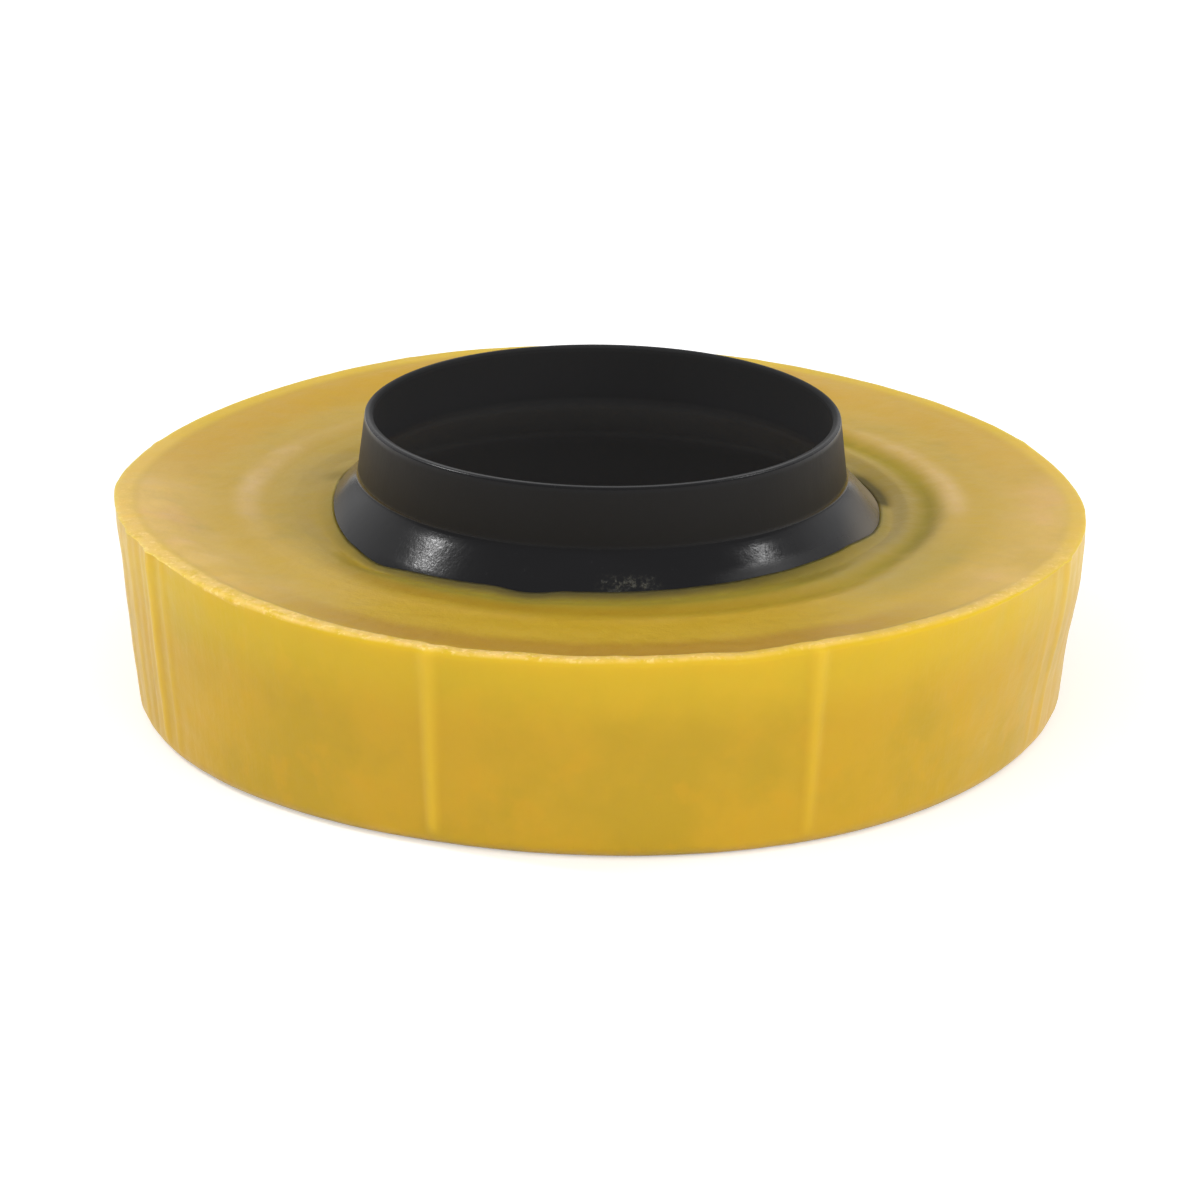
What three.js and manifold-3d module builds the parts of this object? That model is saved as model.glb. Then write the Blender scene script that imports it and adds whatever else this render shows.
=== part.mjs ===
// Toilet pan seal: a cast wax ring with a plastic horn set in it, which leads the waste into the pipe.
// Millimetres, +Z up. It stands on the wax face that meets the pan, horn up, as it does on a counter.
// The origin is the centre of that face. Both pieces are turned about Z.
import * as THREE from "three";
import { mergeVertices } from "three/addons/utils/BufferGeometryUtils.js";
import Module from "manifold-3d";

const wasm = await Module();
wasm.setup();

// Wax ring, outside
const waxHeight = 28.5; // base face to the crest of the lip
const waxBaseRadius = 63.4; // outer wall where it would meet the base face
const waxTopRadius = 66.65; // outer wall where it would meet the crest: the mould has draft
const baseRound = 2.4; // round between the base face and the outer wall
const lipRound = 1.7; // round over the outside of the lip
const lipWidth = 2.3; // crest of the lip, before its rounds
const lipSlope = 1.2; // width of the slope from the crest down to the pipe face
const lipRise = 0.8; // crest of the lip above the pipe face
const softRound = 0.8; // small rounds that the cooling wax leaves

// Wax ring, around the horn: the wax sinks over the horn's flange and creeps up its skirt
const sinkDepth = 0.5; // sunken ring below the pipe face
const sinkMargin = 1.2; // how far the sunken ring reaches past the flange
const sinkSlope = 1.5; // width of the step down into it
const creepRise = 0.5; // wax on the skirt, above the sunken ring
const creepWidth = 1.6; // width of that creep

// Wax ring, the side that takes the pan's outlet
const boreMouthRadius = 41.4; // bore at the base face
const boreSeatRadius = 40.6; // bore where it ends, under the flange
const boreMouthRound = 1.4; // round at the bore's mouth

// Mould ribs down the outer wall
const ribCount = 8;
const ribWidth = 2.4;
const ribHeight = 0.5;
const firstRibAngle = THREE.MathUtils.degToRad(22.5); // from +X
const ribRoot = 1; // how deep a rib starts inside the wall

// Horn: a sleeve that opens out over a skirt into a bell, with a flange that holds it in the wax
const hornWall = 1.3;
const hornRise = 12; // rim of the sleeve above the crest of the wax
const tipRadius = 32.5; // outside of the sleeve at its rim
const sleeveLength = 8.6; // rim to the top of the skirt
const sleeveRootRadius = 33.3; // outside of the sleeve at the skirt: it has draft
const skirtDrop = 5.9; // height of the skirt
const bellTopRadius = 39; // outside of the bell under the skirt
const bellFootRadius = 39.6; // outside of the bell at the flange
const bellDepth = 10.7; // height of the bell, skirt to the top of the flange
const flangeRadius = 46.5;
const sleeveRootRound = 1.2;
const shoulderRound = 3;
const bellFootRound = 1.2;
const edgeRound = 0.35; // rim of the sleeve and edge of the flange

const castClearance = 0.3; // wax to horn, all round the buried part
const sectorsPerTurn = 64;
const chordsPerQuarterTurn = 3;

// Heights and places that follow from the sizes above
const rimZ = waxHeight + hornRise;
const sleeveRootZ = rimZ - sleeveLength;
const shoulderZ = sleeveRootZ - skirtDrop;
const flangeTopZ = shoulderZ - bellDepth;
const pipeFaceZ = waxHeight - lipRise;
const sinkZ = pipeFaceZ - sinkDepth;
const creepZ = sinkZ + creepRise;
const sinkRadius = flangeRadius + sinkMargin;

// A corner of an outline: its radius from the axis, its height, and how much it is rounded.
const corner = (r, z, round = 0) => ({ at: new THREE.Vector2(r, z), round });

// The points that replace one corner: the arc that is tangent to both of its edges.
function roundedCorner(before, { at, round }, after) {
  if (!round) return [at];
  const back = before.at.clone().sub(at);
  const ahead = after.at.clone().sub(at);
  const room = Math.min(back.length(), ahead.length()) / 2;
  back.normalize();
  ahead.normalize();
  const halfAngle = Math.acos(back.dot(ahead)) / 2;
  const reach = Math.min(round / Math.tan(halfAngle), room);
  const radius = reach * Math.tan(halfAngle);
  const bisector = back.clone().add(ahead).normalize();
  const centre = at.clone().addScaledVector(bisector, radius / Math.sin(halfAngle));
  const start = at.clone().addScaledVector(back, reach).sub(centre);
  const sweep = (Math.PI - 2 * halfAngle) * Math.sign(ahead.cross(back));
  const chords = Math.max(1, Math.round((Math.abs(sweep) / (Math.PI / 2)) * chordsPerQuarterTurn));
  return Array.from({ length: chords + 1 }, (_, i) =>
    start.clone().rotateAround(new THREE.Vector2(), (sweep * i) / chords).add(centre),
  );
}

// A closed outline's points, or an open path's, whose two ends stay sharp.
function outlinePoints(corners, closed = true) {
  const last = corners.length - 1;
  return corners.flatMap((here, i) => {
    if (!closed && (i === 0 || i === last)) return [here.at];
    return roundedCorner(corners[i === 0 ? last : i - 1], here, corners[i === last ? 0 : i + 1]);
  });
}

// The same path, moved sideways by a distance: positive is to the right of its direction.
function offsetPath(points, distance) {
  const rightOf = (from, to) => new THREE.Vector2(to.y - from.y, from.x - to.x).normalize();
  return points.map((point, i) => {
    const arriving = rightOf(points[Math.max(i - 1, 0)], points[Math.max(i, 1)]);
    const leaving = rightOf(
      points[Math.min(i, points.length - 2)],
      points[Math.min(i + 1, points.length - 1)],
    );
    const mitre = arriving.add(leaving).normalize();
    return point.clone().addScaledVector(mitre, distance / mitre.dot(leaving));
  });
}

// The part of a falling path that lies below a height, starting on that height.
function pathBelow(points, z) {
  const first = points.findIndex((point) => point.y < z);
  const above = points[first - 1];
  const start = above.clone().lerp(points[first], (above.y - z) / (above.y - points[first].y));
  return [start, ...points.slice(first)];
}

// A ring turned about Z from a closed outline that runs anticlockwise, with height drawn upwards.
function turned(points) {
  return new THREE.LatheGeometry([...points, points[0]], sectorsPerTurn).rotateX(Math.PI / 2);
}

function solidOf(geometry) {
  const bare = new THREE.BufferGeometry();
  bare.setAttribute("position", geometry.getAttribute("position"));
  if (geometry.index) bare.setIndex(geometry.index);
  const merged = mergeVertices(bare, 1e-4);
  return new wasm.Manifold(
    new wasm.Mesh({
      numProp: 3,
      vertProperties: merged.attributes.position.array,
      triVerts: new Uint32Array(merged.index.array),
    }),
  );
}

function geometryOf(solid) {
  const mesh = solid.getMesh();
  const geometry = new THREE.BufferGeometry();
  geometry.setAttribute("position", new THREE.BufferAttribute(mesh.vertProperties, 3));
  geometry.setIndex(new THREE.BufferAttribute(mesh.triVerts, 1));
  geometry.computeVertexNormals();
  return geometry;
}

// The outside of the horn, from the rim down to the edge of the flange.
const hornOutside = outlinePoints(
  [
    corner(tipRadius, rimZ),
    corner(sleeveRootRadius, sleeveRootZ, sleeveRootRound),
    corner(bellTopRadius, shoulderZ, shoulderRound),
    corner(bellFootRadius, flangeTopZ, bellFootRound),
    corner(flangeRadius, flangeTopZ),
  ],
  false,
);

function hornGeometry() {
  const inside = offsetPath(hornOutside, hornWall);
  inside[0].y = rimZ;
  const ends = new Set([hornOutside[0], hornOutside.at(-1), inside[0], inside.at(-1)]);
  const loop = [...inside, ...hornOutside.toReversed()].map((point) => ({
    at: point,
    round: ends.has(point) ? edgeRound : 0,
  }));
  return turned(outlinePoints(loop));
}

// The pocket that the horn leaves in the wax, from the skirt down and round the flange to the bore.
function hornPocket() {
  const beside = pathBelow(offsetPath(hornOutside, -castClearance), creepZ);
  const flangeEnd = beside.at(-1);
  const pocketEdge = flangeRadius + castClearance;
  const underFlangeZ = flangeTopZ - hornWall - castClearance;
  return [
    ...beside.slice(0, -1).map((point) => ({ at: point, round: 0 })),
    corner(pocketEdge, flangeEnd.y, edgeRound),
    corner(pocketEdge, underFlangeZ, edgeRound),
    corner(boreSeatRadius, underFlangeZ),
  ];
}

function waxOutline() {
  const pocket = hornPocket();
  const lipInside = waxTopRadius - lipWidth;
  const creepFoot = pocket[0].at.x + creepWidth;
  return [
    corner(boreMouthRadius, 0, boreMouthRound),
    corner(waxBaseRadius, 0, baseRound),
    corner(waxTopRadius, waxHeight, lipRound),
    corner(lipInside, waxHeight, softRound),
    corner(lipInside - lipSlope, pipeFaceZ, softRound),
    corner(sinkRadius, pipeFaceZ, softRound),
    corner(sinkRadius - sinkSlope, sinkZ, softRound),
    corner(creepFoot, sinkZ, softRound),
    ...pocket,
  ];
}

// A rib's section: a low arch on a root that starts inside the wall. X is across, Y is outwards.
function ribSection() {
  const half = ribWidth / 2;
  const archRadius = (half * half + ribHeight * ribHeight) / (2 * ribHeight);
  const halfArch = Math.asin(half / archRadius);
  const shape = new THREE.Shape();
  shape.moveTo(-half, -ribRoot);
  shape.lineTo(half, -ribRoot);
  shape.absarc(
    0,
    ribHeight - archRadius,
    archRadius,
    Math.PI / 2 - halfArch,
    Math.PI / 2 + halfArch,
    false,
  );
  return shape;
}

// All the ribs, each laid along the sloping wall and rounded off with it at both ends.
function ribs() {
  const slope = Math.atan2(waxTopRadius - waxBaseRadius, waxHeight);
  const bar = new THREE.ExtrudeGeometry(ribSection(), {
    depth: waxHeight / Math.cos(slope),
    bevelEnabled: false,
    curveSegments: chordsPerQuarterTurn,
  });
  bar.rotateX(-slope).translate(0, waxBaseRadius, 0).rotateZ(firstRibAngle - Math.PI / 2);
  const envelope = solidOf(
    turned(
      outlinePoints([
        corner(boreMouthRadius, 0),
        corner(waxBaseRadius + ribHeight, 0, baseRound),
        corner(waxTopRadius + ribHeight, waxHeight, lipRound),
        corner(boreMouthRadius, waxHeight),
      ]),
    ),
  );
  return Array.from({ length: ribCount }, (_, i) =>
    solidOf(bar.clone().rotateZ((i * 2 * Math.PI) / ribCount)).intersect(envelope),
  );
}

function waxGeometry() {
  const ring = solidOf(turned(outlinePoints(waxOutline())));
  return geometryOf(ribs().reduce((wax, rib) => wax.add(rib), ring));
}

function piece(name, geometry, color, roughness) {
  const mesh = new THREE.Mesh(
    geometry,
    new THREE.MeshStandardMaterial({ color, roughness, metalness: 0 }),
  );
  mesh.name = name;
  return mesh;
}

const seal = new THREE.Group();
seal.add(piece("wax_ring", waxGeometry(), 0xd0a536, 0.4));
seal.add(piece("horn", hornGeometry(), 0x262628, 0.35));

export default seal;
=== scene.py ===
"""Dresses the toilet pan seal: a cast wax ring with a black plastic horn set in it.

Lengths are metres and angles radians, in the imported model's frame; the finishes count in millimetres.
Both pieces are turned about Z from an outline in the XZ plane, where X is the distance from the axis.
Places round the seal are given as a bearing: the angle about Z from the viewer's right, so -90 degrees is
the side nearest the viewer. Across runs to the viewer's right and away from the viewer.
"""

import logging
import math
from collections.abc import Callable, Sequence
from dataclasses import dataclass, field
from enum import Enum
from typing import Any, ClassVar, Self

import bmesh
import bpy
from mathutils import Matrix, Vector, noise


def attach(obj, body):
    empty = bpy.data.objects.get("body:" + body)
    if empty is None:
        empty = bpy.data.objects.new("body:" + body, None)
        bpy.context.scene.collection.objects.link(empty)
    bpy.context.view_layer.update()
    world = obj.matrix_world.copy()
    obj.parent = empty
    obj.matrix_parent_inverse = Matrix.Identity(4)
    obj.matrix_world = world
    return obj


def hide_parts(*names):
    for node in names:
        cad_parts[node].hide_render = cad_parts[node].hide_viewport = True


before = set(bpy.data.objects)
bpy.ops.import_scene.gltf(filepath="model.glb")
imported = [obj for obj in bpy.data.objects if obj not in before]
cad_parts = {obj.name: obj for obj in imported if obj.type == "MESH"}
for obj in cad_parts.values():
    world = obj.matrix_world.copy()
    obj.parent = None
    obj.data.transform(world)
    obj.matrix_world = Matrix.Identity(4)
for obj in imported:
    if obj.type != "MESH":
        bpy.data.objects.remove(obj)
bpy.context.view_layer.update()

log = logging.getLogger("pan_seal")

MM = 0.001
ROOT = "root"
UP = Vector((0.0, 0.0, 1.0))
VIEW_TURN = math.radians(-3.1)
Colour = tuple[float, float, float]
Span = tuple[float, float]
Band = tuple[float, float, float]


class Mark(Enum):
    """What the wax casting's mesh notes at each of its points, for its finish to read."""

    RIB = "rib"
    LIP = "lip"
    GROOVE = "groove"
    CREST = "crest"
    CONTACT = "contact"


def smoothstep(low: float, high: float, value: float) -> float:
    """Rises smoothly from 0 at low to 1 at high.

    Args:
        low: Where the rise starts.
        high: Where it ends; it may be less than low, for a fall.
        value: Where to read it.

    Returns:
        The height of the step, 0 to 1.
    """
    t = min(max((value - low) / (high - low), 0.0), 1.0)
    return t * t * (3.0 - 2.0 * t)


def clamped(value: float) -> float:
    """Keeps a value between 0 and 1."""
    return min(max(value, 0.0), 1.0)


def hump(distance: float, half_width: float) -> float:
    """Gives a smooth hump, 1 in its middle and 0 from half_width outwards."""
    return 1.0 - smoothstep(0.0, half_width, abs(distance))


def turn_between(first: float, second: float) -> float:
    """Gives the signed angle from second to first, between -pi and pi."""
    return math.remainder(first - second, math.tau)


class Signal:
    """A node's output that takes part in arithmetic; each operation adds one Math node."""

    def __init__(self, board: "Board", socket: bpy.types.NodeSocket) -> None:
        """Keeps the socket and the board that new nodes go on."""
        self.board = board
        self.socket = socket

    def __add__(self, other: "Signal | float") -> "Signal":
        """Adds."""
        return self.board.math("ADD", self, other)

    __radd__ = __add__

    def __sub__(self, other: "Signal | float") -> "Signal":
        """Subtracts."""
        return self.board.math("SUBTRACT", self, other)

    def __rsub__(self, other: float) -> "Signal":
        """Subtracts this from a number."""
        return self.board.math("SUBTRACT", other, self)

    def __mul__(self, other: "Signal | float") -> "Signal":
        """Multiplies."""
        return self.board.math("MULTIPLY", self, other)

    __rmul__ = __mul__

    def __truediv__(self, other: "Signal | float") -> "Signal":
        """Divides."""
        return self.board.math("DIVIDE", self, other)


@dataclass(frozen=True)
class Grain:
    """A noise texture: its lumps per unit, its octaves and how strong the finer ones are."""

    scale: float
    detail: float = 4.0
    rough: float = 0.6


@dataclass(frozen=True)
class Blotches(Grain):
    """A noise texture cut to blotches: between the two cuts its value rises from 0 to 1."""

    cut: Span = (0.35, 0.65)


class Board:
    """The nodes of a material or the world, with short ways to add the ones used here.

    A Mix node has like-named sockets for each kind of value, so its colours go by place.
    """

    MIX_BELOW: ClassVar[int] = 6
    MIX_ABOVE: ClassVar[int] = 7
    MIX_RESULT: ClassVar[int] = 2

    def __init__(self, owner: bpy.types.Material | bpy.types.World) -> None:
        """Empties the owner's nodes.

        Args:
            owner: The material or world.
        """
        owner.use_nodes = True
        self.owner = owner
        self.tree = owner.node_tree
        self.tree.nodes.clear()

    @classmethod
    def of_material(cls, name: str) -> Self:
        """Starts a new material."""
        return cls(bpy.data.materials.new(name))

    @classmethod
    def of_world(cls, name: str) -> Self:
        """Starts a new world."""
        return cls(bpy.data.worlds.new(name))

    def add(
        self,
        kind: str,
        settings: dict[str, Any] | None = None,
        inputs: dict[str | int, Any] | None = None,
    ) -> bpy.types.Node:
        """Adds a node, sets it, and then feeds its sockets.

        Args:
            kind: The node's type.
            settings: Its properties, such as a Math node's operation.
            inputs: A number, colour, socket or Signal for each socket, by name or place.

        Returns:
            The node.
        """
        node = self.tree.nodes.new(kind)
        for key, value in (settings or {}).items():
            setattr(node, key, value)
        for key, value in (inputs or {}).items():
            self.feed(node.inputs[key], value)
        return node

    def feed(self, socket: bpy.types.NodeSocket, value: Any) -> None:
        """Links a socket, or sets it where the value is a constant.

        Args:
            socket: The input to feed.
            value: A Signal, an output socket, a number or a colour.
        """
        if isinstance(value, Signal):
            value = value.socket
        if isinstance(value, bpy.types.NodeSocket):
            self.tree.links.new(value, socket)
        elif isinstance(value, tuple) and socket.type == "RGBA":
            socket.default_value = (*value, 1.0)
        else:
            socket.default_value = value

    def math(self, operation: str, *values: Signal | float) -> Signal:
        """Adds a Math node.

        Args:
            operation: Blender's name for what it does.
            values: What it works on, in order.

        Returns:
            Its result.
        """
        node = self.add("ShaderNodeMath", {"operation": operation}, dict(enumerate(values)))
        return Signal(self, node.outputs[0])

    def step(self, value: Signal, low: float, high: float) -> Signal:
        """Adds a smooth step.

        Args:
            value: Where to read it.
            low: Where it is 0.
            high: Where it is 1; it may be less than low, for a fall.

        Returns:
            The height of the step, 0 to 1.
        """
        falls = low > high
        node = self.add(
            "ShaderNodeMapRange",
            {"interpolation_type": "SMOOTHSTEP"},
            {
                "Value": value,
                "From Min": min(low, high),
                "From Max": max(low, high),
                "To Min": 1.0 if falls else 0.0,
                "To Max": 0.0 if falls else 1.0,
            },
        )
        return Signal(self, node.outputs["Result"])

    def band(self, value: Signal, low: float, high: float, soft: float) -> Signal:
        """Adds a band that is 1 between low and high, with soft edges."""
        return self.step(value, low - soft, low + soft) * self.step(value, high + soft, high - soft)

    def mix(self, factor: Signal | float, below: Any, above: Any) -> bpy.types.NodeSocket:
        """Lays one colour on another.

        Args:
            factor: How much of the upper colour shows.
            below: The lower colour.
            above: The upper colour.

        Returns:
            The colour that results.
        """
        node = self.add(
            "ShaderNodeMix",
            {"data_type": "RGBA", "clamp_factor": True},
            {"Factor": factor, self.MIX_BELOW: below, self.MIX_ABOVE: above},
        )
        return node.outputs[self.MIX_RESULT]

    def noise(self, where: Any, grain: Grain) -> Signal:
        """Adds a noise texture.

        Args:
            where: The vector it is read at.
            grain: How fine and how rough it is.

        Returns:
            Its value, about 0.5 on average.
        """
        node = self.add(
            "ShaderNodeTexNoise",
            {"noise_dimensions": "3D"},
            {
                "Vector": where,
                "Scale": grain.scale,
                "Detail": grain.detail,
                "Roughness": grain.rough,
            },
        )
        return Signal(self, node.outputs["Fac"])

    def blotches(self, where: Any, kind: Blotches) -> Signal:
        """Adds a noise texture that is cut to blotches, 0 between them and 1 inside them."""
        return self.step(self.noise(where, kind), *kind.cut)

    def bump(self, height: Signal, depth: float, normal: Any = None) -> bpy.types.NodeSocket:
        """Adds a bump.

        Args:
            height: The form of the bump, 0 to 1.
            depth: Its depth in metres.
            normal: What it goes on, if not the smooth surface.

        Returns:
            The normal that results.
        """
        inputs: dict[str | int, Any] = {"Height": height, "Distance": depth, "Strength": 1.0}
        if normal is not None:
            inputs["Normal"] = normal
        return self.add("ShaderNodeBump", None, inputs).outputs["Normal"]

    def vector(self, *parts: Signal | float) -> bpy.types.NodeSocket:
        """Joins three values in a vector."""
        return self.add("ShaderNodeCombineXYZ", None, dict(enumerate(parts))).outputs[0]

    def reading(self, mark: Mark) -> Signal:
        """Reads what a piece's mesh notes at each of its points."""
        node = self.add("ShaderNodeAttribute", {"attribute_name": mark.value})
        return Signal(self, node.outputs["Fac"])

    def finish(self, shader: bpy.types.NodeSocket) -> bpy.types.Material | bpy.types.World:
        """Sends the shader to the output.

        Args:
            shader: What the owner shows.

        Returns:
            The owner.
        """
        kind = "World" if isinstance(self.owner, bpy.types.World) else "Material"
        self.add(f"ShaderNodeOutput{kind}", None, {"Surface": shader})
        return self.owner


@dataclass(frozen=True)
class Place:
    """Where a point of a material lies on the seal, in millimetres and radians."""

    across: Signal
    away: Signal
    height: Signal
    radius: Signal
    bearing: Signal
    point: bpy.types.NodeSocket
    wrapped: bpy.types.NodeSocket

    @classmethod
    def on(cls, board: Board, wrap_radius: float = 50.0) -> Self:
        """Reads a place from the object's own coordinates.

        Args:
            board: The material's nodes.
            wrap_radius: The radius at which the wrapped vector is true to scale.

        Returns:
            The place. Its wrapped vector draws patterns out along the ring.
        """
        own = board.add("ShaderNodeTexCoord").outputs["Object"]
        turned = board.add(
            "ShaderNodeMapping",
            {"vector_type": "POINT"},
            {"Vector": own, "Rotation": (0.0, 0.0, -VIEW_TURN), "Scale": (1 / MM, 1 / MM, 1 / MM)},
        ).outputs["Vector"]
        split = board.add("ShaderNodeSeparateXYZ", None, {"Vector": turned})
        across, away, height = (Signal(board, split.outputs[axis]) for axis in "XYZ")
        radius = board.math("SQRT", across * across + away * away)
        bearing = board.math("ARCTAN2", away, across)
        wrapped = board.vector(
            across / radius * wrap_radius, away / radius * wrap_radius, radius + height
        )
        return cls(across, away, height, radius, bearing, turned, wrapped)


@dataclass(frozen=True)
class FaceMasks:
    """Which part of the casting's face a point is on, and how patchy it is there, each 0 to 1."""

    face: Signal
    front: Signal
    nearest: Signal
    back: Signal
    right: Signal
    patch: Signal


@dataclass(frozen=True)
class WaxFinish:
    """Soft yellow petroleum wax: cloudy, a little see-through at its edges, with a greasy sheen.

    A span says where a mask rises from 0 to 1, and a band where it is 1 and how soft its edges are. Both
    are in millimetres, or in radians where they are bearings. An end is a share of the radius that runs
    across, and a side one that runs away. A share says how much of a colour shows, and a loss how much
    of it goes.
    """

    body: Colour = (0.530, 0.322, 0.014)
    deep: Colour = (0.455, 0.296, 0.012)
    bright: Colour = (0.640, 0.440, 0.014)
    # field is the face's colour: the wax laid darker than the wall, as painted shade on the top.
    field: Colour = (0.455, 0.285, 0.014)
    # pale is laid as painted sheen, on the wall's far ends and on the outer face.
    pale: Colour = (0.645, 0.418, 0.108)
    lip_highlight: Colour = (0.775, 0.530, 0.175)
    olive: Colour = (0.270, 0.210, 0.026)
    brown: Colour = (0.345, 0.180, 0.005)
    moss: Colour = (0.300, 0.222, 0.010)
    shade: Colour = (0.095, 0.071, 0.016)
    blush: Colour = (0.655, 0.445, 0.210)
    amber: Colour = (0.495, 0.290, 0.014)
    ochre: Colour = (0.560, 0.320, 0.012)
    # ribbed is a painted highlight on the ribs.
    ribbed: Colour = (0.665, 0.440, 0.028)
    glint_colour: Colour = (0.860, 0.640, 0.260)
    rose: Colour = (0.650, 0.372, 0.150)

    # How the skin takes light.
    refraction: float = 1.44
    gloss: float = 0.30
    scatter_share: float = 0.6
    scatter_reach: Colour = (1.0, 0.75, 0.25)
    scatter_depth: float = 4.0 * MM
    roughness: float = 0.40
    streak_roughness: float = 0.16
    groove_roughness: float = 0.2
    contact_roughness: float = 0.35

    # Patterns of the colour.
    streaks: Grain = Grain(0.2)
    clouds: Blotches = Blotches(0.06, 4.0, 0.55, (0.40, 0.64))
    mottles: Blotches = Blotches(0.2, 3.0, 0.55, (0.50, 0.72))
    patches: Blotches = Blotches(0.1, 4.0, 0.6, (0.35, 0.65))
    tinges: Blotches = Blotches(0.055, 3.0, 0.55, (0.50, 0.64))
    dapples: Blotches = Blotches(0.09, 4.0, 0.6, (0.52, 0.70))
    # Blotches of the lip's painted highlight, and its painted glints.
    lip_highlight_blotches: Blotches = Blotches(0.5, 4.0, 0.6, (0.25, 0.62))
    lip_glints: Blotches = Blotches(1.3, 2.0, 0.6, (0.55, 0.65))
    groove_streaks: Span = (0.10, 0.55)

    # The wall.
    cloud_share: float = 0.85
    mottle_share: float = 0.5
    bright_height: Span = (16.0, 27.5)
    bright_share: float = 0.6
    # Painted sheen: the wall's far left and right ends are laid paler, where they turn from view.
    left_end: Span = (-0.86, -0.97)
    left_share: float = 0.45
    right_end: Span = (0.84, 0.97)
    right_share: float = 0.28
    # Painted highlight: how much lighter the ribs are laid.
    rib_highlight_share: float = 0.62

    # The face and its sides.
    face_height: Span = (25.8, 26.8)
    face_edge: Span = (65.0, 63.0)
    # Painted shade: how much darker the face is laid than the wall.
    face_shade_share: float = 0.9
    front_side: Span = (-0.46, -0.84)
    nearest_side: Span = (-0.60, -0.92)
    back_side: Span = (-0.05, 0.42)
    left_across: Span = (10.0, -20.0)
    right_across: Span = (20.0, 40.0)
    far_right_across: Span = (30.0, 50.0)
    patch_share: float = 0.5

    # The outer part of the face, with its painted sheen.
    pale_radius: Span = (50.0, 63.0)
    pale_least: float = 0.5
    far_right_loss: float = 0.25
    back_loss: float = 0.4
    behind_left_loss: float = 0.35
    rose_share: float = 0.5
    dapple_radius: Band = (43.0, 60.0, 3.0)
    dapple_share: float = 0.28

    # The edge of the face: painted shade at its back edge, under the near lip and in a thin line inside
    # it; a painted highlight on the crest; painted highlights and glints on the lip.
    # Painted shade: the back edge of the face is laid a deeper amber.
    back_edge: Span = (53.0, 59.0)
    back_edge_share: float = 0.9
    back_edge_loss: float = 0.35
    # Painted shade: a brown band under the near lip.
    under_lip: Band = (57.5, 62.5, 1.6)
    under_lip_share: float = 0.78
    # Painted shadow: a thin line at the foot of the lip's inner slope, at the front.
    lip_shadow_radius: Band = (61.4, 62.4, 0.5)
    lip_shadow_bearing: Band = (-1.70, -1.05, 0.15)
    lip_shadow_share: float = 0.5
    # Painted highlight on the groove's crest: the least share of it.
    crest_least: float = 0.3
    # Painted highlight on the lip: how much of it shows, and of its painted glints.
    worn_share: float = 0.85
    glint_share: float = 0.7

    # The wax round the horn, darker partly as painted shade, and in the groove.
    horn_radius: Span = (50.0, 41.0)
    horn_share: float = 0.26
    horn_front_share: float = 0.59
    horn_right_share: float = 0.24
    olive_patch_bearing: Band = (-0.85, -0.30, 0.2)
    olive_patch_radius: Band = (47.0, 53.5, 2.0)
    olive_patch_share: float = 0.4
    front_ring: Band = (43.5, 46.5, 1.5)
    front_ring_share: float = 0.5
    groove_share: float = 0.8

    # Relief of the skin.
    swells: Grain = Grain(0.16, 2.0, 0.5)
    swell_depth: float = 0.30 * MM
    drags: Grain = Grain(1.0, 3.0)
    drag_level: float = 0.5
    drag_upright: float = 0.05
    drag_depth: float = 0.06 * MM
    streak_depth: float = 0.08 * MM
    pores: Grain = Grain(1.6)
    pore_depth: float = 0.03 * MM

    def make(self) -> bpy.types.Material:
        """Builds the material.

        Returns:
            The wax material.
        """
        board = Board.of_material("petroleum_wax")
        at = Place.on(board)
        streak = board.noise(at.wrapped, self.streaks)
        colour = self._face_colour(board, at, streak)
        # Painted highlight: the lip is laid cream in blotches where it catches the light, with painted
        # glints on it.
        worn = board.reading(Mark.LIP) * board.blotches(at.point, self.lip_highlight_blotches)
        colour = board.mix(worn * self.worn_share, colour, self.lip_highlight)
        glint = board.reading(Mark.LIP) * board.blotches(at.point, self.lip_glints)
        colour = board.mix(glint * self.glint_share, colour, self.glint_colour)
        rough = self.roughness + (streak - 0.5) * self.streak_roughness
        rough = rough + board.reading(Mark.GROOVE) * self.groove_roughness
        shader = board.add(
            "ShaderNodeBsdfPrincipled",
            {"subsurface_method": "RANDOM_WALK"},
            {
                "Base Color": colour,
                "Roughness": rough + board.reading(Mark.CONTACT) * self.contact_roughness,
                "IOR": self.refraction,
                "Specular IOR Level": self.gloss,
                "Subsurface Weight": self.scatter_share,
                "Subsurface Radius": self.scatter_reach,
                "Subsurface Scale": self.scatter_depth,
                "Normal": self._relief(board, at, streak),
            },
        )
        return board.finish(shader.outputs[0])

    def _wall_colour(self, board: Board, at: Place) -> bpy.types.NodeSocket:
        """Mixes the clouded yellow of the wall, brighter towards its top, with painted sheen at its left
        and right ends and a painted highlight along its ribs.

        Args:
            board: The material's nodes.
            at: The place on the seal.

        Returns:
            The wall's colour.
        """
        side = at.across / at.radius
        cloud = board.blotches(at.point, self.clouds) * self.cloud_share
        colour = board.mix(cloud, self.body, self.deep)
        mottle = board.blotches(at.point, self.mottles) * self.mottle_share
        colour = board.mix(mottle, colour, self.ochre)
        top = board.step(at.height, *self.bright_height) * self.bright_share
        colour = board.mix(top, colour, self.bright)
        # Painted sheen on the wall's far left and right ends.
        left = board.step(side, *self.left_end) * self.left_share
        right = board.step(side, *self.right_end) * self.right_share
        colour = board.mix(left + right, colour, self.pale)
        # Painted highlight along the ribs.
        return board.mix(board.reading(Mark.RIB) * self.rib_highlight_share, colour, self.ribbed)

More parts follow.
